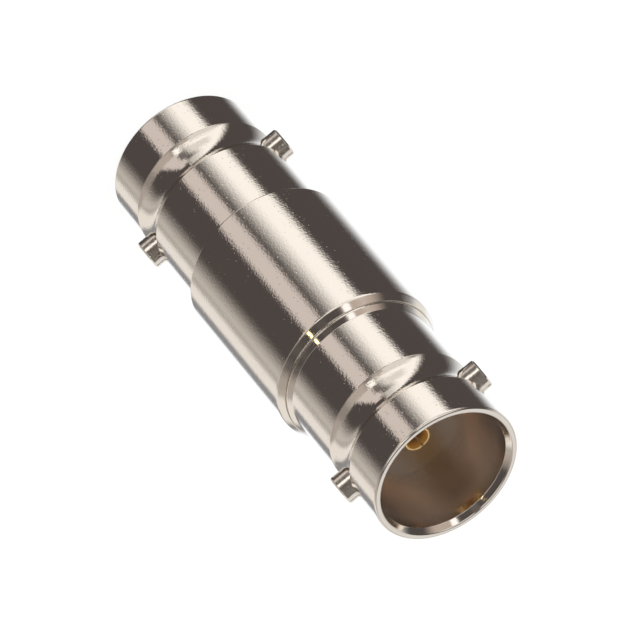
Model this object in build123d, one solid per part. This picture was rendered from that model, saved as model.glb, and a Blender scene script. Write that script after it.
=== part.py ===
from build123d import *
import os

# Straight in-line adapter with a bayonet coaxial jack at both ends.
# Millimetres. Z runs along the axis, from the lower jack's rim at z = 0 to the
# upper jack's rim. The bayonet studs stand out along X.

# Jacks
jack_diameter = 9.65
jack_length = 10.95          # rim to the barrel's full diameter
rim_chamfer = 0.145
rim_width = 0.215            # flat ring of the rim

# Waist, a shallow arc-shaped groove round the jack behind its rim
waist_width = 2.42
waist_depth = 0.36
waist_offset = 0.05          # from the studs' axis to the middle of the waist

# Mouth of each jack, as steps of its radius from the rim inwards
countersink_width = 0.275
countersink_depth = 0.4
mouth_taper = 0.13
mouth_taper_length = 4.6
mouth_depth = 8.4
floor_lip_width = 0.8
floor_lip_thickness = 0.8

# Barrel between the jacks
barrel_length = 11.0
barrel_step = 0.59           # height of the shoulder from jack to barrel
barrel_edge_break = 0.06

# Collar and spigot of the pressed-in upper jack
collar_step = 0.22           # how far the collar stands out from the jack
collar_rise = 0.05           # collar wall that shows above the barrel's end
cone_slope = 0.68            # fall of the radius per height on both sides of the joint
collar_seat_depth = 1.0
spigot_wall = 0.6
spigot_length = 6.0
spigot_lead = 0.3

# Bayonet studs
stud_diameter = 1.95
stud_height = 4.25           # rim to the studs' axis
studs_across = 11.0
stud_end_chamfer = 0.09
stud_bury = 0.28             # inner end of a stud, below the waist's floor

# Centre contact
socket_diameter = 1.38
socket_depth = 5.6
contact_wall = 0.36
contact_recess = 3.5         # rim to the contact's tip
tip_wall = 0.16
tip_taper_length = 1.3
slot_width = 0.2
slot_length = 4.4
contact_collar_step = 0.4
contact_collar_length = 0.6

# Insulating beads and the spacer sleeve between them
line_bore_step = 0.16        # how much less the line's bore is than the mouth's
bead_thickness = 2.5
bead_dish_depth = 0.6
bead_rim_width = 0.6
sleeve_wall = 0.38

# Clearances on the radius and along the axis
press_gap = 0.005
slip_gap = 0.02
end_gap = 0.05

# Derived radii
jack_r = jack_diameter / 2
waist_floor_r = jack_r - waist_depth
stud_seat_r = waist_floor_r - stud_bury
mouth_rim_r = jack_r - rim_chamfer - rim_width
mouth_entry_r = mouth_rim_r - countersink_width
mouth_bore_r = mouth_entry_r - mouth_taper
line_r = mouth_bore_r - line_bore_step
floor_lip_r = line_r - floor_lip_width
barrel_r = jack_r + barrel_step
collar_r = jack_r + collar_step
spigot_r = line_r + spigot_wall
socket_r = socket_diameter / 2
contact_r = socket_r + contact_wall
insert_r = line_r - slip_gap

# Derived heights
total_length = 2 * jack_length + barrel_length
waist_middle = stud_height + waist_offset
waist_start = waist_middle - waist_width / 2
waist_end = waist_middle + waist_width / 2
barrel_top = jack_length + barrel_length
barrel_end = barrel_top + (barrel_r - collar_r - press_gap) / cone_slope
collar_top = barrel_end + collar_rise
collar_seat = barrel_end - collar_seat_depth
spigot_seat = collar_seat - spigot_length
lower_bead_seat = mouth_depth + floor_lip_thickness
lower_bead_top = lower_bead_seat + bead_thickness
upper_bead_bottom = total_length - lower_bead_top


def revolve_outline(edges):
    """Solid of revolution about Z from a closed outline of (radius, height) edges."""
    return revolve(make_face(Plane.XZ * (Curve() + edges)), Axis.Z)


def tube(outer_r, inner_r, bottom, top):
    """Plain tube about Z between two heights."""
    ring = Circle(outer_r) - Circle(inner_r)
    return Pos(0, 0, bottom) * extrude(ring, top - bottom)


def circle_edges(solid, radius, height):
    """Circular edges of a solid at one radius and height."""
    return [
        edge
        for edge in solid.edges().filter_by(GeomType.CIRCLE)
        if abs(edge.radius - radius) < 1e-4
        and abs(edge.center(CenterOf.BOUNDING_BOX).Z - height) < 1e-4
    ]


def turn_over(solid):
    """Turn a piece end for end, from the lower end of the adapter to the upper."""
    return Pos(0, 0, total_length) * Rot(180, 0, 0) * solid


def jack_outside():
    """Outer face of a jack, from its rim at z = 0 to the waist's far edge."""
    waist = ThreePointArc(
        (jack_r, waist_start),
        (waist_floor_r, waist_middle),
        (jack_r, waist_end),
    )
    nose = Polyline(
        (jack_r - rim_chamfer, 0),
        (jack_r, rim_chamfer),
        (jack_r, waist_start),
    )
    return [nose, waist]


def jack_inside():
    """Inner face of a jack, from its bead's seat out through the mouth to the rim."""
    return Polyline(
        (line_r, lower_bead_seat),
        (floor_lip_r, lower_bead_seat),
        (floor_lip_r, mouth_depth),
        (mouth_bore_r, mouth_depth),
        (mouth_bore_r, countersink_depth + mouth_taper_length),
        (mouth_entry_r, countersink_depth),
        (mouth_rim_r, 0),
        (jack_r - rim_chamfer, 0),
    )


def stud_place(side):
    """Place of a stud's inner end, pointing out along X on one side."""
    return Pos(0, 0, stud_height) * Rot(0, 90 * side, 0) * Pos(0, 0, stud_seat_r)


def drill_for_studs(solid):
    """Drill a jack, its rim at z = 0, with a blind hole for each stud."""
    for side in (-1, 1):
        solid -= stud_place(side) * Cylinder(
            stud_diameter / 2 + press_gap,
            barrel_r,
            align=(Align.CENTER, Align.CENTER, Align.MIN),
        )
    return solid


def make_main_body():
    """Lower jack and barrel, turned as one piece and bored from above."""
    outside = Polyline(
        (jack_r, waist_end),
        (jack_r, jack_length),
        (barrel_r, jack_length),
        (barrel_r, barrel_top),
        (collar_r + press_gap, barrel_end),
    )
    bore = Polyline(
        (collar_r + press_gap, barrel_end),
        (collar_r + press_gap, collar_seat),
        (spigot_r + press_gap, collar_seat),
        (spigot_r + press_gap, spigot_seat - end_gap),
        (line_r, spigot_seat - end_gap),
        (line_r, lower_bead_seat),
    )
    body = revolve_outline([jack_inside(), *jack_outside(), outside, bore])
    ends = circle_edges(body, barrel_r, jack_length) + circle_edges(body, barrel_r, barrel_top)
    return drill_for_studs(chamfer(ends, barrel_edge_break))


def make_upper_jack_shell():
    """Upper jack with the collar and spigot that press into the barrel."""
    collar_start = total_length - collar_top
    outside = Polyline(
        (jack_r, waist_end),
        (jack_r, collar_start - collar_step / cone_slope),
        (collar_r, collar_start),
        (collar_r, total_length - collar_seat),
        (spigot_r, total_length - collar_seat),
        (spigot_r, total_length - spigot_seat - spigot_lead),
        (spigot_r - spigot_lead, total_length - spigot_seat),
        (line_r, total_length - spigot_seat),
        (line_r, lower_bead_seat),
    )
    shell = revolve_outline([jack_inside(), *jack_outside(), outside])
    return turn_over(drill_for_studs(shell))


def make_stud(side, upper):
    """Plain round stud pressed into a jack's wall, its outer end chamfered."""
    length = studs_across / 2 - stud_seat_r
    pin = Cylinder(stud_diameter / 2, length, align=(Align.CENTER, Align.CENTER, Align.MIN))
    pin = chamfer(pin.edges().group_by(Axis.Z)[-1], stud_end_chamfer)
    pin = stud_place(side) * pin
    return turn_over(pin) if upper else pin


def socket_end():
    """Lower end of the centre contact up to its bead's top: a bored and slotted socket."""
    reach = lower_bead_top - contact_recess
    socket = revolve_outline(
        [
            Polyline(
                (socket_r, 0),
                (socket_r + tip_wall, 0),
                (contact_r, tip_taper_length),
                (contact_r, reach),
                (0, reach),
                (0, socket_depth),
                (socket_r, socket_depth),
                (socket_r, 0),
            )
        ]
    )
    saw_cut = Pos(0, 0, slot_length / 2) * Box(slot_width, 3 * contact_r, slot_length)
    return Pos(0, 0, contact_recess) * (socket - saw_cut)


def make_centre_contact():
    """Double-ended socket contact with a locating collar at each bead."""
    rod = Pos(0, 0, lower_bead_top) * extrude(
        Circle(contact_r), upper_bead_bottom - lower_bead_top
    )
    collar_bottom = lower_bead_top + end_gap
    collar = tube(
        contact_r + contact_collar_step,
        contact_r / 2,
        collar_bottom,
        collar_bottom + contact_collar_length,
    )
    lower = socket_end() + collar
    return rod + lower + turn_over(lower)


def make_bead(upper):
    """Insulating bead, dished inside its rim on the side of the mouth."""
    bead = tube(insert_r, contact_r + slip_gap, lower_bead_seat, lower_bead_top)
    dish = extrude(Circle(insert_r - bead_rim_width), bead_dish_depth)
    bead -= Pos(0, 0, lower_bead_seat) * dish
    return turn_over(bead) if upper else bead


def make_spacer_sleeve():
    """Sleeve that keeps the two beads apart."""
    return tube(
        insert_r,
        insert_r - sleeve_wall,
        lower_bead_top + end_gap / 2,
        upper_bead_bottom - end_gap / 2,
    )


pieces = {
    "main_body": make_main_body(),
    "upper_jack_shell": make_upper_jack_shell(),
    "stud_lower_left": make_stud(-1, False),
    "stud_lower_right": make_stud(1, False),
    "stud_upper_left": make_stud(-1, True),
    "stud_upper_right": make_stud(1, True),
    "bead_lower": make_bead(False),
    "bead_upper": make_bead(True),
    "spacer_sleeve": make_spacer_sleeve(),
    "centre_contact": make_centre_contact(),
}

os.makedirs("parts", exist_ok=True)
for name, piece in pieces.items():
    piece.label = name
    export_step(piece, f"parts/{name}.step")
    print(name, round(piece.volume, 3))
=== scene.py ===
import math

import bpy
import numpy as np
from mathutils import Matrix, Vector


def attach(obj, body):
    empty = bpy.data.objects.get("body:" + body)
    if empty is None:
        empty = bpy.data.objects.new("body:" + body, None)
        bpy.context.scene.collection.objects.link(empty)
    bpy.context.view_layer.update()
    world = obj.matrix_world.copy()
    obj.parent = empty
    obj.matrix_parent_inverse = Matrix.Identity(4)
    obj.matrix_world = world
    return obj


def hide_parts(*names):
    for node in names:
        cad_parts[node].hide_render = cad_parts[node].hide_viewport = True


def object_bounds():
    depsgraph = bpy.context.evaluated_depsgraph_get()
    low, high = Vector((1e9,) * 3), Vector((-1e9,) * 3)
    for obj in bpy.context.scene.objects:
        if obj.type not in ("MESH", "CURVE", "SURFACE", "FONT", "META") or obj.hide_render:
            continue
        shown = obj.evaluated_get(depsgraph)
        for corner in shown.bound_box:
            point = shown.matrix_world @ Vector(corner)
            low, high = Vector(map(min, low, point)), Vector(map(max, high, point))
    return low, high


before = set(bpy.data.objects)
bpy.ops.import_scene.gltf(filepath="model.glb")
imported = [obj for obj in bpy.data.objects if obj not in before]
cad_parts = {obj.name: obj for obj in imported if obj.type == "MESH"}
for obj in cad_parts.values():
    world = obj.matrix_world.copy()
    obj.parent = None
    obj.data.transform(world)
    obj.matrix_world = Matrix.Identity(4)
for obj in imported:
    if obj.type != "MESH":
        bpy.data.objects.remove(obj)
cadLow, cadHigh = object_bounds()
mm = 0.001
totalLength = cadHigh[2] - cadLow[2]
print("frame loaded, length", round(totalLength / mm, 2), "mm")


# Camera

cameraSettings = {
    "lens": 420.4,               # long lens, in mm
    "sensor": 36,                # width, in mm
    "clipStart": 0.01,
    "elevation": 41.343,         # degrees above the floor
    "roll": 140.085,             # degrees, so that the axis runs down to the right
    "distance": 460.5 * mm,      # to the lower rim's centre, along the view
    "rimRight": -8.399 * mm,     # place of that centre in the picture plane
    "rimUp": 9.886 * mm,
}


def makeCamera(s):
    elevation, roll = math.radians(s["elevation"]), math.radians(s["roll"])
    forward = np.array([0.0, math.cos(elevation), -math.sin(elevation)])
    level = np.array([1.0, 0.0, 0.0])
    upright = np.array([0.0, math.sin(elevation), math.cos(elevation)])
    right = math.cos(roll) * level + math.sin(roll) * upright
    up = math.cos(roll) * upright - math.sin(roll) * level
    matrix = np.eye(4)
    matrix[:3, 0], matrix[:3, 1], matrix[:3, 2] = right, up, -forward
    matrix[:3, 3] = -(s["rimRight"] * right + s["rimUp"] * up + s["distance"] * forward)
    data = bpy.data.cameras.new("camera")
    data.lens = s["lens"]
    data.sensor_width = s["sensor"]
    data.clip_start = s["clipStart"]
    camera = bpy.data.objects.new("camera", data)
    camera.matrix_world = Matrix(matrix.tolist())
    bpy.context.scene.collection.objects.link(camera)
    bpy.context.scene.camera = camera


makeCamera(cameraSettings)
bpy.context.scene.view_settings.view_transform = "Standard"
print("camera placed")


# Node helpers

def feed(tree, socket, value):
    if isinstance(value, bpy.types.NodeSocket):
        tree.links.new(value, socket)
    else:
        socket.default_value = value


def addNode(tree, kind, inputs=None, **settings):
    node = tree.nodes.new("ShaderNode" + kind)
    for key, value in settings.items():
        setattr(node, key, value)
    for key, value in (inputs or {}).items():
        feed(tree, node.inputs[key], value)
    return node


def calc(tree, operation, *values):
    return addNode(tree, "Math", dict(enumerate(values)), operation=operation).outputs[0]


# smooth step from 0 at start to 1 at end
def rise(tree, value, start, end):
    inputs = {"Value": value, "From Min": start, "From Max": end}
    return addNode(tree, "MapRange", inputs, interpolation_type="SMOOTHSTEP").outputs[0]


def blend(tree, mask, first, second):
    node = addNode(tree, "Mix", data_type="RGBA")
    for index, value in ((0, mask), (6, first), (7, second)):
        feed(tree, node.inputs[index], value)
    return node.outputs[2]


def rgb(colour):
    return (*colour, 1.0)


def makeGroup(name, inputs, outputs, build):
    group = bpy.data.node_groups.new(name, "ShaderNodeTree")
    for key, value in inputs.items():
        kind = "NodeSocketVector" if value is None else "NodeSocketFloat"
        socket = group.interface.new_socket(key, in_out="INPUT", socket_type=kind)
        if value is not None:
            socket.default_value = value
    for key, kind in outputs.items():
        group.interface.new_socket(key, in_out="OUTPUT", socket_type="NodeSocket" + kind)
    source, result = group.nodes.new("NodeGroupInput"), group.nodes.new("NodeGroupOutput")
    for key, value in build(group, source.outputs).items():
        feed(group, result.inputs[key], value)
    return group


def useGroup(tree, group, inputs):
    node = tree.nodes.new("ShaderNodeGroup")
    node.node_tree = group
    for key, value in inputs.items():
        feed(tree, node.inputs[key], value)
    return node.outputs


# Surroundings, seen only as reflections: soft panels placed by azimuth and elevation

studio = {
    "turn": 15.0,                # degrees, puts the seam of the azimuth in a dark part
    "level": -42.0,              # elevation at which the panels' edges are given
    "dark": (0.087, 0.075, 0.073),
    "light": 0.95,               # plain light on rough surfaces
    # name: left, right, soft left, soft right, lean left, lean right, low, high, colour
    "panels": {
        "shelf": (4.5, 71, 33, 14, -0.4, -0.3, -64, 4, (0.61, 0.575, 0.545)),
        "seam": (22, 29, 6, 6, -0.2, -0.2, -64, 4, (0.5, 0.47, 0.445)),
        "strip": (33.5, 60, 10, 8, -0.4, -0.25, -64, 4, (0.94, 0.9, 0.87)),
        "shade": (56, 80, 9, 8, -0.25, -0.2, -64, 4, (0.305, 0.305, 0.32)),
        "backdrop": (78.5, 146.5, 12, 38, -0.1, 0.4, -60, 6, (1.08, 1.12, 1.18)),
        "tan": (-79, -54.4, 11, 9, 0.2, 0.27, -63, 4, (0.73, 0.66, 0.636)),
        "kick": (-112, -82, 10, 12, 0.0, 0.0, -80, -48, (0.66, 0.63, 0.60)),
        "horizon": (-128, -34, 12, 26, 0.0, 0.0, -3, 21.5, (0.52, 0.46, 0.42)),
        "softbox": (-135.5, -98, 14, 34, -0.31, 0.34, -76, 8, (1.19, 1.15, 1.12)),
        "dip": (-122, -90, 14, 14, 0.0, 0.0, -31, -9, (0.88, 0.85, 0.81)),
        "notch": (-81, -68, 9, 8, 0.0, 0.0, -3, 22, (0.26, 0.23, 0.21)),
        "pinLight": (-80, -70, 4, 4, 0.0, 0.0, -7, 12, (1.25, 1.23, 1.2)),
        "pinDark": (-79, -71, 4, 4, 0.0, 0.0, -33, -11, (0.2, 0.18, 0.17)),
        "pinDeep": (-79, -71, 4, 4, 0.0, 0.0, -66, -54, (0.2, 0.18, 0.17)),
        "farShade": (-42, 25, 14, 10, 0.0, 0.0, -3, 16, (0.47, 0.42, 0.385)),
        "farGap": (-33, -11, 12, 12, 0.0, 0.0, -4, 18, (0.31, 0.28, 0.26)),
        "sideLight": (28, 133, 24, 10, 0.0, 0.76, -13, 17, (0.94, 0.91, 0.87)),
        "upperTan": (-150, -107, 22, 16, 0.0, 0.0, 11, 30, (0.56, 0.47, 0.42)),
        "halo": (-135, -97, 12, 8, 0.0, 0.0, 3, 19.5, (0.86, 0.82, 0.79)),
        "upperLeft": (3, 60, 22, 20, 0.0, 0.0, 17, 48, (0.56, 0.50, 0.443)),
        "upperLight": (-150, -10, 26, 30, 0.0, 0.0, 34, 60, (1.15, 1.12, 1.08)),
        "pinShade": (-82, -68, 6, 6, 0.0, 0.0, 28, 66, (0.16, 0.14, 0.13)),
        "backLight": (60, 160, 20, 20, 0.0, 0.0, 24, 62, (0.83, 0.82, 0.82)),
        "ceiling": (-200, 200, 1, 1, 0.0, 0.0, 64, 100, (0.2, 0.19, 0.18)),
    },
    # name: azimuth, elevation, radius, softness, colour
    "spots": {
        "highlight": (-111.5, 25.9, 3.0, 3.5, (1.3, 1.28, 1.3)),
        "glint": (-56.4, 26.3, 1.0, 0.6, (7.0, 5.6, 2.7)),
    },
    "edge": 7.0,                 # softness of the panels' lower and upper edges
}


def buildPanel(tree, given):
    above = calc(tree, "SUBTRACT", given["Elevation"], given["Level"])
    sides = []
    for side in ("Left", "Right"):
        lean = calc(tree, "MULTIPLY", above, given["Lean " + side])
        place = calc(tree, "SUBTRACT", given["Azimuth"], calc(tree, "ADD", given[side], lean))
        step = calc(tree, "ADD", calc(tree, "DIVIDE", place, given["Soft " + side]), 0.5)
        sides.append(rise(tree, step, 0.0, 1.0))
    across = calc(tree, "MULTIPLY", sides[0], calc(tree, "SUBTRACT", 1.0, sides[1]))
    half = calc(tree, "MULTIPLY", given["Edge"], 0.5)
    ends = []
    for side in ("Low", "High"):
        start = calc(tree, "SUBTRACT", given[side], half)
        ends.append(rise(tree, given["Elevation"], start, calc(tree, "ADD", given[side], half)))
    upright = calc(tree, "MULTIPLY", ends[0], calc(tree, "SUBTRACT", 1.0, ends[1]))
    return {"Mask": calc(tree, "MULTIPLY", across, upright)}


def makeWorld(s):
    world = bpy.data.worlds.new("studio")
    bpy.context.scene.world = world
    world.use_nodes = True
    tree = world.node_tree
    tree.nodes.clear()
    sides = ("Left", "Right", "Soft Left", "Soft Right", "Lean Left", "Lean Right", "Low", "High")
    inputs = {"Level": s["level"], "Edge": s["edge"]}
    inputs.update(dict.fromkeys(("Azimuth", "Elevation") + sides, 0.0))
    panel = makeGroup("panelMask", inputs, {"Mask": "Float"}, buildPanel)
    direction = addNode(tree, "TexCoord").outputs["Generated"]
    turned = addNode(
        tree,
        "VectorRotate",
        {"Vector": direction, "Angle": math.radians(s["turn"])},
        rotation_type="Z_AXIS",
    ).outputs[0]
    part = addNode(tree, "SeparateXYZ", {0: turned}).outputs
    azimuth = calc(tree, "DEGREES", calc(tree, "ARCTAN2", part[1], part[0]))
    elevation = calc(tree, "DEGREES", calc(tree, "ARCSINE", part[2]))
    colour = rgb(s["dark"])
    for *numbers, tint in s["panels"].values():
        given = {"Azimuth": azimuth, "Elevation": elevation, **dict(zip(sides, numbers))}
        colour = blend(tree, useGroup(tree, panel, given)["Mask"], colour, rgb(tint))
    for around, above, radius, soft, tint in s["spots"].values():
        around, above = math.radians(around), math.radians(above)
        level = math.cos(above)
        aim = (level * math.cos(around), level * math.sin(around), math.sin(above))
        near = addNode(tree, "VectorMath", {0: turned, 1: aim}, operation="DOT_PRODUCT").outputs[1]
        away = calc(tree, "DEGREES", calc(tree, "ARCCOSINE", near))
        colour = blend(tree, rise(tree, away, radius + soft, radius), colour, rgb(tint))
    path = addNode(tree, "LightPath").outputs
    mirrored = calc(tree, "MAXIMUM", path["Is Glossy Ray"], path["Is Transmission Ray"])
    seen = blend(tree, mirrored, rgb((s["light"],) * 3), colour)
    seen = blend(tree, path["Is Camera Ray"], seen, rgb((1.0, 1.0, 1.0)))
    background = addNode(tree, "Background", {"Color": seen, "Strength": 1.0})
    result = addNode(tree, "OutputWorld")
    tree.links.new(background.outputs[0], result.inputs["Surface"])


makeWorld(studio)
print("surroundings made")


# Floor, a white ground that keeps a faint shadow

floorSettings = {"size": 3.0, "glow": 0.86, "colour": 0.2}


def makeFloor(s):
    half = s["size"] / 2
    mesh = bpy.data.meshes.new("floor")
    corners = [(-half, -half, 0), (half, -half, 0), (half, half, 0), (-half, half, 0)]
    mesh.from_pydata(corners, [], [(0, 1, 2, 3)])
    floor = bpy.data.objects.new("floor", mesh)
    bpy.context.scene.collection.objects.link(floor)
    material = bpy.data.materials.new("floorWhite")
    material.use_nodes = True
    tree = material.node_tree
    tree.nodes.clear()
    diffuse = addNode(tree, "BsdfDiffuse", {"Color": rgb((s["colour"],) * 3)})
    path = addNode(tree, "LightPath").outputs
    strength = calc(tree, "MULTIPLY", path["Is Camera Ray"], s["glow"])
    glow = addNode(tree, "Emission", {"Strength": strength})
    both = addNode(tree, "AddShader", {0: diffuse.outputs[0], 1: glow.outputs[0]})
    result = addNode(tree, "OutputMaterial")
    tree.links.new(both.outputs[0], result.inputs["Surface"])
    mesh.materials.append(material)
    floor.visible_glossy = False


makeFloor(floorSettings)


# Finishes, with painted shade in the shell's mouth and painted light and shade in the contact's
# bore

nickel = {
    "colour": (0.82, 0.77, 0.70),
    "roughness": 0.075,
    "peel": 0.13 * mm,           # size of the plating's ripples
    "peelDepth": 0.0055 * mm,
    "feed": 0.14 * mm,           # spacing of the turning marks
    "feedDepth": 0.0038 * mm,
    "pitSpacing": 0.26 * mm,
    "pitDepth": 0.0045 * mm,
    "roughnessSpread": 0.02,     # how far the blotches move the roughness, in all
}

plating = {
    "ringWidth": 0.03,           # scale of the turning marks' noise across the axis
    "plainShare": 0.5,           # share of the cells that have no pit
    "pitEdge": 0.2,              # from a cell's middle, in cells
    "pitFloor": 0.06,
    "calmStart": 0.42,           # the normal's share along the axis, where marks start to fade
    "calmEnd": 0.54,
    "calm": 0.8,                 # how much of the marks is gone there
    "blotchScale": 650.0,
    "blotchDetail": 3.0,
}

# inside the shell's mouth: painted shade as a darker, browner colour, with a rougher, less
# metallic finish
mouthShadeAndFinish = {
    "colour": (0.79, 0.68, 0.59),
    "roughness": 0.25,
    "metallic": 0.9,
    "radius": 4.19 * mm,         # the painted shade and the rougher finish start inside this radius
    "soft": 0.03 * mm,
}

gold = {
    "colour": (0.93, 0.70, 0.38),
    "shade": (0.84, 0.57, 0.25),
    # painted light and shade in the bore: bright amber behind the tip, darkening deeper in
    "bore": (1.0, 0.60, 0.17),
    "paintedBoreShade": (0.5, 0.26, 0.1),
    "roughness": 0.2,
    "boreRoughness": 0.5,
    "boreMetallic": 0.35,
    "boreRadius": 0.7 * mm,
    "boreSoft": 0.01 * mm,
    "tip": 3.5 * mm,             # painted light: the bore is bright for a little way behind its tip
    "brightLength": 0.85 * mm,
    "brightShare": 0.2,          # share of that length before the painted shade starts to darken the bore
}

plastic = {"colour": (0.86, 0.85, 0.82), "shade": (0.835, 0.822, 0.79), "roughness": 0.38}

brass = {"colour": (0.80, 0.60, 0.28), "shade": (0.62, 0.43, 0.16), "roughness": 0.3}

# what gold, plastic and brass share: clouds of the second colour and a fine grain
clouds = {
    "scale": 900.0,
    "detail": 3.0,
    "low": 0.42,
    "high": 0.66,
    "roughnessSpread": 0.1,
    "grainScale": 9000.0,
    "grainDepth": 0.001 * mm,
}


# height of the plating's ripples, turning marks and pits, in metres
def buildRipples(tree, given):
    s = plating
    scale = calc(tree, "DIVIDE", 1.0, given["Peel"])
    noise = addNode(tree, "TexNoise", {"Vector": given["Place"], "Scale": scale, "Detail": 1.0})
    peel = calc(tree, "MULTIPLY", noise.outputs[0], given["Peel Depth"])
    # noise stretched round the axis and fine along it
    inputs = {0: given["Place"], 1: (s["ringWidth"], s["ringWidth"], 1.0)}
    drawn = addNode(tree, "VectorMath", inputs, operation="MULTIPLY").outputs[0]
    pitch = calc(tree, "DIVIDE", 1.0, given["Feed"])
    rings = addNode(tree, "TexNoise", {"Vector": drawn, "Scale": pitch, "Detail": 1.0})
    marks = calc(tree, "MULTIPLY", rings.outputs[0], given["Feed Depth"])
    spread = calc(tree, "DIVIDE", 1.0, given["Pit Spacing"])
    cells = addNode(tree, "TexVoronoi", {"Vector": given["Place"], "Scale": spread}).outputs
    lot = addNode(tree, "SeparateColor", {0: cells[1]}).outputs[0]
    chosen = calc(tree, "GREATER_THAN", lot, s["plainShare"])
    pits = calc(tree, "MULTIPLY", rise(tree, cells[0], s["pitEdge"], s["pitFloor"]), chosen)
    height = calc(tree, "ADD", peel, marks)
    height = calc(tree, "SUBTRACT", height, calc(tree, "MULTIPLY", pits, given["Pit Depth"]))
    # cones and edges are smoother than the cylinders
    sloping = rise(tree, given["Slope"], s["calmStart"], s["calmEnd"])
    height = calc(tree, "MULTIPLY", height, calc(tree, "MULTIPLY_ADD", sloping, -s["calm"], 1.0))
    inputs = {"Vector": given["Place"], "Scale": s["blotchScale"], "Detail": s["blotchDetail"]}
    return {"Height": height, "Blotch": addNode(tree, "TexNoise", inputs).outputs[0]}


platedInputs = ("Slope", "Peel", "Peel Depth", "Feed", "Feed Depth", "Pit Spacing", "Pit Depth")
ripples = makeGroup(
    "platedSurface",
    {"Place": None, **dict.fromkeys(platedInputs, 1.0)},
    {"Height": "Float", "Blotch": "Float"},
    buildRipples,
)


def newMaterial(name):
    material = bpy.data.materials.new(name)
    material.use_nodes = True
    tree = material.node_tree
    tree.nodes.clear()
    shader = addNode(tree, "BsdfPrincipled")
    result = addNode(tree, "OutputMaterial")
    tree.links.new(shader.outputs[0], result.inputs["Surface"])
    return material, tree, shader


def finish(tree, shader, colour, metallic, roughness, bump):
    feed(tree, shader.inputs["Base Color"], colour)
    feed(tree, shader.inputs["Metallic"], metallic)
    feed(tree, shader.inputs["Roughness"], roughness)
    feed(tree, shader.inputs["Normal"], bump.outputs[0])


# 1 closer to the axis than radius, 0 beyond it
def insideOf(tree, place, radius, soft):
    flat = addNode(tree, "VectorMath", {0: place, 1: (1, 1, 0)}, operation="MULTIPLY")
    away = addNode(tree, "VectorMath", {0: flat.outputs[0]}, operation="LENGTH").outputs[1]
    return rise(tree, away, radius, radius - soft)


def platedMaterial(name, s, mouth=None):
    material, tree, shader = newMaterial(name)
    coordinates = addNode(tree, "TexCoord").outputs
    place, slope, metallic = coordinates["Object"], 0.0, 1.0
    if mouth:
        upright = addNode(tree, "SeparateXYZ", {0: coordinates["Normal"]}).outputs[2]
        slope = calc(tree, "ABSOLUTE", upright)
    surface = useGroup(tree, ripples, {
        "Place": place,
        "Slope": slope,
        "Peel": s["peel"],
        "Peel Depth": s["peelDepth"],
        "Feed": s["feed"],
        "Feed Depth": s["feedDepth"],
        "Pit Spacing": s["pitSpacing"],
        "Pit Depth": s["pitDepth"],
    })
    bump = addNode(tree, "Bump", {"Height": surface["Height"], "Strength": 1.0, "Distance": 1.0})
    colour = rgb(s["colour"])
    spread = s["roughnessSpread"]
    smoothest = s["roughness"] - spread / 2
    roughness = calc(tree, "MULTIPLY_ADD", surface["Blotch"], spread, smoothest)
    # painted shade in the mouth: a darker, browner colour, with a rougher, less metallic finish
    if mouth:
        inside = insideOf(tree, place, mouth["radius"], mouth["soft"])
        colour = blend(tree, inside, colour, rgb(mouth["colour"]))
        rough = calc(tree, "SUBTRACT", mouth["roughness"], roughness)
        roughness = calc(tree, "MULTIPLY_ADD", inside, rough, roughness)
        metallic = calc(tree, "MULTIPLY_ADD", inside, mouth["metallic"] - 1.0, 1.0)
    finish(tree, shader, colour, metallic, roughness, bump)
    return material


def plainMaterial(name, s, metallic):
    material, tree, shader = newMaterial(name)
    place = addNode(tree, "TexCoord").outputs["Object"]
    inputs = {"Vector": place, "Scale": clouds["scale"], "Detail": clouds["detail"]}
    cloud = addNode(tree, "TexNoise", inputs).outputs[0]
    mask = rise(tree, cloud, clouds["low"], clouds["high"])
    grain = addNode(tree, "TexNoise", {"Vector": place, "Scale": clouds["grainScale"]}).outputs[0]
    inputs = {"Height": grain, "Strength": 1.0, "Distance": clouds["grainDepth"]}
    bump = addNode(tree, "Bump", inputs)
    spread = clouds["roughnessSpread"]
    roughness = calc(tree, "MULTIPLY_ADD", cloud, spread, s["roughness"] - spread / 2)
    colour = blend(tree, mask, rgb(s["colour"]), rgb(s["shade"]))
    if "boreRadius" in s:
        inside = insideOf(tree, place, s["boreRadius"], s["boreSoft"])
        rough = s["boreRoughness"] - s["roughness"]
        roughness = calc(tree, "MULTIPLY_ADD", inside, rough, roughness)
        metallic = calc(tree, "MULTIPLY_ADD", inside, s["boreMetallic"] - metallic, metallic)
        # painted light and shade in the bore: bright amber behind the tip, fading to painted shade
        # deeper in
        height = addNode(tree, "SeparateXYZ", {0: place}).outputs[2]
        fromMiddle = calc(tree, "ABSOLUTE", calc(tree, "SUBTRACT", height, totalLength / 2))
        tip = totalLength / 2 - s["tip"]
        length = s["brightLength"]
        paintedBoreShade = rise(tree, fromMiddle, tip - s["brightShare"] * length, tip - length)
        bore = blend(tree, paintedBoreShade, rgb(s["bore"]), rgb(s["paintedBoreShade"]))
        colour = blend(tree, inside, colour, bore)
    finish(tree, shader, colour, metallic, roughness, bump)
    return material


shellNickel = platedMaterial("shellNickel", nickel, mouthShadeAndFinish)
studNickel = platedMaterial("studNickel", nickel)
goldPlate = plainMaterial("goldPlate", gold, 1.0)
whitePlastic = plainMaterial("whitePlastic", plastic, 0.0)
bareBrass = plainMaterial("bareBrass", brass, 1.0)
print("finishes made")


# Turned pieces: an outline of radius and height, its corners rounded, spun round the axis

turning = {
    "segments": 320,
    "support": 0.03 * mm,        # distance from a rounding to the row that keeps a face flat
    "supportShare": 0.3,         # at most this share of what the rounding leaves of a side
    "cutShare": 0.48,            # a rounding takes at most this share of a side
    "arcStep": 13,               # degrees of a rounding between two rows
    "straight": 1.566,           # radians, half the angle of a corner that needs no rounding
    "sharpAngle": 40,            # degrees
}


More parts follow.
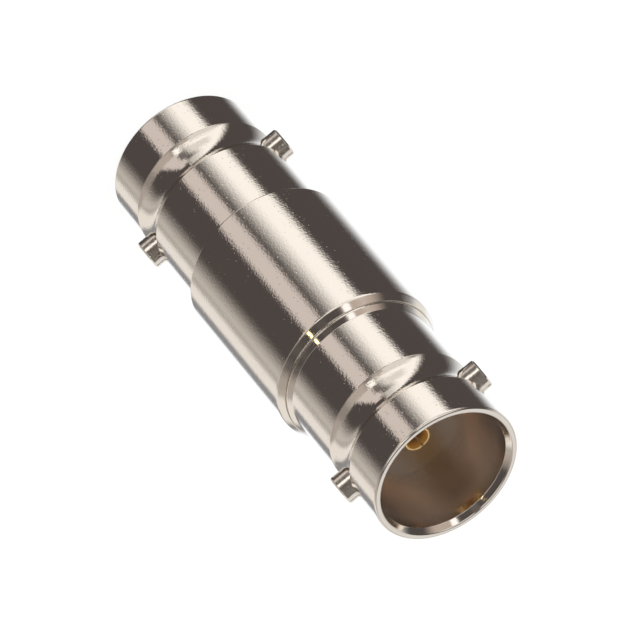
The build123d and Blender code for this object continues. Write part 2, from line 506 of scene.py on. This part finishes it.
# Outline through (radius, height, rounding) corners, all in mm, as an array in metres.
# Each rounding is an arc that touches both sides, with a supporting row beyond each end.
def roundCorners(corners, closed=True):
    points = np.array([corner[:2] for corner in corners], float) * mm
    sizes = np.array([corner[2] for corner in corners], float) * mm
    rows = []
    for index, (point, size) in enumerate(zip(points, sizes)):
        before, after = points[index - 1], points[(index + 1) % len(points)]
        if not closed and index in (0, len(points) - 1):
            rows.append(point)
            continue
        inward, onward = before - point, after - point
        reach = np.linalg.norm(inward), np.linalg.norm(onward)
        inward, onward = inward / reach[0], onward / reach[1]
        half = math.acos(np.clip(inward @ onward, -1, 1)) / 2
        if size == 0 or half > turning["straight"]:
            rows.append(point)
            continue
        cut = min(size / math.tan(half), turning["cutShare"] * min(reach))
        size = cut * math.tan(half)
        middle = (inward + onward) / np.linalg.norm(inward + onward)
        centre = point + middle * size / math.sin(half)
        first, last = point + inward * cut - centre, point + onward * cut - centre
        sweep = math.pi - 2 * half
        keep = [min(turning["support"], turning["supportShare"] * (r - cut)) for r in reach]
        rows.append(point + inward * (cut + keep[0]))
        count = max(2, math.ceil(math.degrees(sweep) / turning["arcStep"]))
        for step in np.linspace(0, 1, count + 1):
            weights = math.sin((1 - step) * sweep), math.sin(step * sweep)
            rows.append(centre + (first * weights[0] + last * weights[1]) / math.sin(sweep))
        rows.append(point + onward * (cut + keep[1]))
    return np.array(rows)


# four-sided faces over a grid of points, rows by columns, and caps over what stays open
def gridFaces(grid, closedRows, closedColumns, first):
    rowCount, columnCount = grid.shape[:2]
    a = np.arange(rowCount if closedRows else rowCount - 1)
    b = np.arange(columnCount if closedColumns else columnCount - 1)
    a, b = (side.ravel() for side in np.meshgrid(a, b, indexing="ij"))
    nextA, nextB = (a + 1) % rowCount, (b + 1) % columnCount
    around = [(a, b), (a, nextB), (nextA, nextB), (nextA, b)]
    faces = list(first + np.stack([row * columnCount + column for row, column in around], axis=1))
    index = first + np.arange(rowCount * columnCount).reshape(rowCount, columnCount)
    if not closedRows:
        faces += [index[0][::-1], index[-1]]
    if not closedColumns:
        faces += [index[:, 0], index[::-1, -1]]
    return faces


# one mesh over several grids, each given as points, closed rows and closed columns
def makeMesh(name, grids):
    faces, points = [], np.zeros((0, 3))
    for grid, closedRows, closedColumns in grids:
        faces += gridFaces(grid, closedRows, closedColumns, len(points))
        points = np.concatenate([points, grid.reshape(-1, 3)])
    lengths = np.array([len(face) for face in faces])
    corners = np.concatenate(faces)
    mesh = bpy.data.meshes.new(name)
    mesh.vertices.add(len(points))
    mesh.vertices.foreach_set("co", points.ravel().astype(np.float32))
    mesh.loops.add(len(corners))
    mesh.loops.foreach_set("vertex_index", corners.astype(np.int32))
    mesh.polygons.add(len(faces))
    mesh.polygons.foreach_set("loop_start", (np.cumsum(lengths) - lengths).astype(np.int32))
    mesh.polygons.foreach_set("use_smooth", np.ones(len(faces), bool))
    mesh.update(calc_edges=True)
    mesh.set_sharp_from_angle(angle=math.radians(turning["sharpAngle"]))
    return mesh


# surface of revolution: each outline point's radius times the cosine and sine of each angle
def spin(outline, angles):
    x = outline[:, :1] * np.cos(angles)
    y = outline[:, :1] * np.sin(angles)
    z = np.repeat(outline[:, 1:], x.shape[1], axis=1)
    return np.stack([x, y, z], axis=2)


def fullTurn(count):
    return np.linspace(0, math.tau, count, endpoint=False)


# the same grid at the upper end, its columns reversed so that its faces still face out
def turnOver(grid):
    grid = grid[:, ::-1].copy()
    grid[:, :, 2] = totalLength - grid[:, :, 2]
    return grid


def addPiece(name, grids, material, node):
    mesh = makeMesh(name, grids)
    mesh.materials.append(material)
    piece = bpy.data.objects.new(name, mesh)
    bpy.context.scene.collection.objects.link(piece)
    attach(piece, "root")
    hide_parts(node)


def turnedPiece(name, corners, material, node, upper=False):
    grid = spin(roundCorners(corners), fullTurn(turning["segments"]))
    addPiece(name, [(turnOver(grid) if upper else grid, True, True)], material, node)


# Jacks and barrel, in mm from the lower rim

jack = {
    "radius": 4.825,
    "rimRound": 0.24,
    "rimRadius": 4.465,
    "rimInnerRound": 0.12,
    "entryRadius": 4.19,
    "entryDepth": 0.4,
    "entryRound": 0.1,
    "boreRadius": 4.06,
    "boreStart": 5.0,
    "boreRound": 0.3,
    "mouthDepth": 8.4,
    "floorRound": 0.05,
    "lipRadius": 3.1,
    "lineRadius": 3.9,
    "seat": 9.2,
    "seatRound": 0.02,
    "waistRound": 0.05,
    "waistMiddle": 4.3,
    "waistWidth": 2.42,
    "waistDepth": 0.36,
    "waistRows": 14,
    "length": 10.95,
}

barrel = {
    "radius": 5.415,
    "edge": 0.14,
    "topEdge": 0.3,
    "length": 11.0,
    "coneSlope": 0.68,           # fall of the radius per height beside the joint
    "lip": 0.035,
    "collarRadius": 5.045,
    "collarRise": 0.05,
    "collarSeat": 21.487,
    "spigotRadius": 4.5,
    "spigotSeat": 15.487,
    "spigotLead": 0.3,
    "stepRound": 0.03,
    "seatRound": 0.02,
    "gap": 0.005,                # on the radius
    "endGap": 0.05,
}


# rows along the waist: a circle's arc through its two edges and its floor
def waistArc(s):
    half, depth = s["waistWidth"] / 2, s["waistDepth"]
    arcRadius = (half ** 2 + depth ** 2) / (2 * depth)
    sweep = math.asin(half / arcRadius)
    rows = []
    for turn in np.linspace(-sweep, sweep, s["waistRows"]):
        radius = s["radius"] - depth + arcRadius * (1 - math.cos(turn))
        rows.append((radius, s["waistMiddle"] + arcRadius * math.sin(turn), 0.0))
    rows[0], rows[-1] = (*rows[0][:2], s["waistRound"]), (*rows[-1][:2], s["waistRound"])
    return rows


def jackOutline(s):
    return [
        (s["lineRadius"], s["seat"], s["seatRound"]),
        (s["lipRadius"], s["seat"], s["seatRound"]),
        (s["lipRadius"], s["mouthDepth"], s["floorRound"]),
        (s["boreRadius"], s["mouthDepth"], s["floorRound"]),
        (s["boreRadius"], s["boreStart"], s["boreRound"]),
        (s["entryRadius"], s["entryDepth"], s["entryRound"]),
        (s["rimRadius"], 0.0, s["rimInnerRound"]),
        (s["radius"], 0.0, s["rimRound"]),
        *waistArc(s),
    ]


barrelTop = jack["length"] + barrel["length"]
barrelFall = barrel["radius"] - barrel["collarRadius"] - barrel["gap"]
barrelEnd = barrelTop + barrelFall / barrel["coneSlope"]
totalMm = totalLength / mm



def makeBarrel(s):
    collarBore = s["collarRadius"] + s["gap"]
    spigotBore = s["spigotRadius"] + s["gap"]
    spigotFloor = s["spigotSeat"] - s["endGap"]
    turnedPiece("jackAndBarrel", jackOutline(jack) + [
        (jack["radius"], jack["length"], s["stepRound"]),
        (s["radius"], jack["length"], s["edge"]),
        (s["radius"], barrelTop, s["topEdge"]),
        (collarBore, barrelEnd, s["lip"]),
        (collarBore, s["collarSeat"], s["seatRound"]),
        (spigotBore, s["collarSeat"], s["seatRound"]),
        (spigotBore, spigotFloor, s["seatRound"]),
        (jack["lineRadius"], spigotFloor, s["seatRound"]),
    ], shellNickel, "main_body")


# heights here are from the upper rim, because the piece is turned over
def makeUpperJack(s):
    collarTop = totalMm - barrelEnd - s["collarRise"]
    coneTop = collarTop - (s["collarRadius"] - jack["radius"]) / s["coneSlope"]
    collarFoot = totalMm - s["collarSeat"]
    spigotFoot = totalMm - s["spigotSeat"]
    turnedPiece("upperJack", jackOutline(jack) + [
        (jack["radius"], coneTop, s["stepRound"]),
        (s["collarRadius"], collarTop, s["stepRound"]),
        (s["collarRadius"], collarFoot, s["stepRound"]),
        (s["spigotRadius"], collarFoot, s["stepRound"]),
        (s["spigotRadius"], spigotFoot - s["spigotLead"], s["stepRound"]),
        (s["spigotRadius"] - s["spigotLead"], spigotFoot, s["stepRound"]),
        (jack["lineRadius"], spigotFoot, s["stepRound"]),
    ], shellNickel, "upper_jack_shell", upper=True)


makeBarrel(barrel)
makeUpperJack(barrel)
print("jacks and barrel turned")


# Studs, along X

stud = {
    "radius": 0.975,
    "height": 4.25,
    "start": 4.2,
    "end": 5.5,
    "chamfer": 0.09,
    "chamferRound": 0.025,
    "endRound": 0.02,
    "flat": 0.4,                 # radius of the plain cap in the middle of each end
    "segments": 128,
}


def makeStud(name, side, upper, node, s):
    outline = roundCorners([
        (s["flat"], s["start"], 0.0),
        (s["radius"], s["start"], s["endRound"]),
        (s["radius"], s["end"] - s["chamfer"], s["chamferRound"]),
        (s["radius"] - s["chamfer"], s["end"], s["endRound"]),
        (s["flat"], s["end"], 0.0),
    ], closed=False)
    x, y, z = np.moveaxis(spin(outline, fullTurn(s["segments"])), 2, 0)
    height = totalMm - s["height"] if upper else s["height"]
    grid = np.stack([side * z, -side * y, height * mm + x], axis=2)
    addPiece(name, [(grid, False, True)], studNickel, node)


for sideName, side in (("left", -1), ("right", 1)):
    for upper in (False, True):
        level = "upper" if upper else "lower"
        makeStud(f"stud_{level}_{sideName}_turned", side, upper, f"stud_{level}_{sideName}", stud)
print("studs made")


# Centre contact: a rod bored at both ends, with two fingers at each

contact = {
    "bore": 0.69,
    "radius": 1.05,
    "tip": 3.5,                  # height of the lower tip
    "tipRadius": 0.85,
    "tipInnerRound": 0.05,
    "tipOuterRound": 0.07,
    "taper": 1.3,
    "taperRound": 0.1,
    "slotWidth": 0.09,
    "slotLength": 4.4,
    "boreDepth": 5.6,
    "core": 0.05,                # radius of the plain cap in the middle of each bore's floor
    "floorRound": 0.02,
    "collarRadius": 1.45,
    "collarStart": 11.75,
    "collarEnd": 12.35,
    "collarRound": 0.03,
    "collarFootRound": 0.02,
    "columns": 60,
}


def makeContact(s):
    slotEnd = s["tip"] + s["slotLength"]
    boreFloor = s["tip"] + s["boreDepth"]
    half = [
        (s["core"], boreFloor, 0.0),
        (s["bore"], boreFloor, s["floorRound"]),
        (s["bore"], slotEnd, 0.0),
        (s["radius"], slotEnd, 0.0),
        (s["radius"], s["collarStart"], s["collarFootRound"]),
        (s["collarRadius"], s["collarStart"], s["collarRound"]),
        (s["collarRadius"], s["collarEnd"], s["collarRound"]),
        (s["radius"], s["collarEnd"], s["collarFootRound"]),
    ]
    mirrored = [(radius, totalMm - height, size) for radius, height, size in half[::-1]]
    rod = spin(roundCorners(half + mirrored, closed=False), fullTurn(2 * s["columns"]))
    finger = roundCorners([
        (s["bore"], slotEnd, 0.0),
        (s["bore"], s["tip"], s["tipInnerRound"]),
        (s["tipRadius"], s["tip"], s["tipOuterRound"]),
        (s["radius"], s["tip"] + s["taper"], s["taperRound"]),
        (s["radius"], slotEnd, 0.0),
    ])
    # each outline point turns from one wall of the saw cut to the other
    reach = math.pi / 2 - np.arcsin(s["slotWidth"] / 2 * mm / finger[:, :1])
    grids = [(rod, False, True)]
    for side in (0, math.pi):
        grid = spin(finger, side + reach * np.linspace(-1, 1, s["columns"]))
        grids += [(grid, True, False), (turnOver(grid), True, False)]
    addPiece("contactTurned", grids, goldPlate, "centre_contact")


makeContact(contact)
print("contact made")


# Beads, dished on the side of the mouth

bead = {
    "bore": 1.07,
    "dish": 3.28,
    "dishDepth": 0.6,
    "dishRound": 0.15,
    "innerRound": 0.04,
    "radius": 3.88,
    "outerRound": 0.05,
    "start": 9.2,
    "end": 11.7,
}


def makeBead(name, node, upper, s):
    dishFloor = s["start"] + s["dishDepth"]
    turnedPiece(name, [
        (s["bore"], dishFloor, s["innerRound"]),
        (s["dish"], dishFloor, s["dishRound"]),
        (s["dish"], s["start"], s["innerRound"]),
        (s["radius"], s["start"], s["outerRound"]),
        (s["radius"], s["end"], s["outerRound"]),
        (s["bore"], s["end"], s["innerRound"]),
    ], whitePlastic, node, upper)


makeBead("beadLower", "bead_lower", False, bead)
makeBead("beadUpper", "bead_upper", True, bead)

sleeve = bpy.data.objects["spacer_sleeve"]
sleeve.data.materials.clear()
sleeve.data.materials.append(bareBrass)
print("beads made")
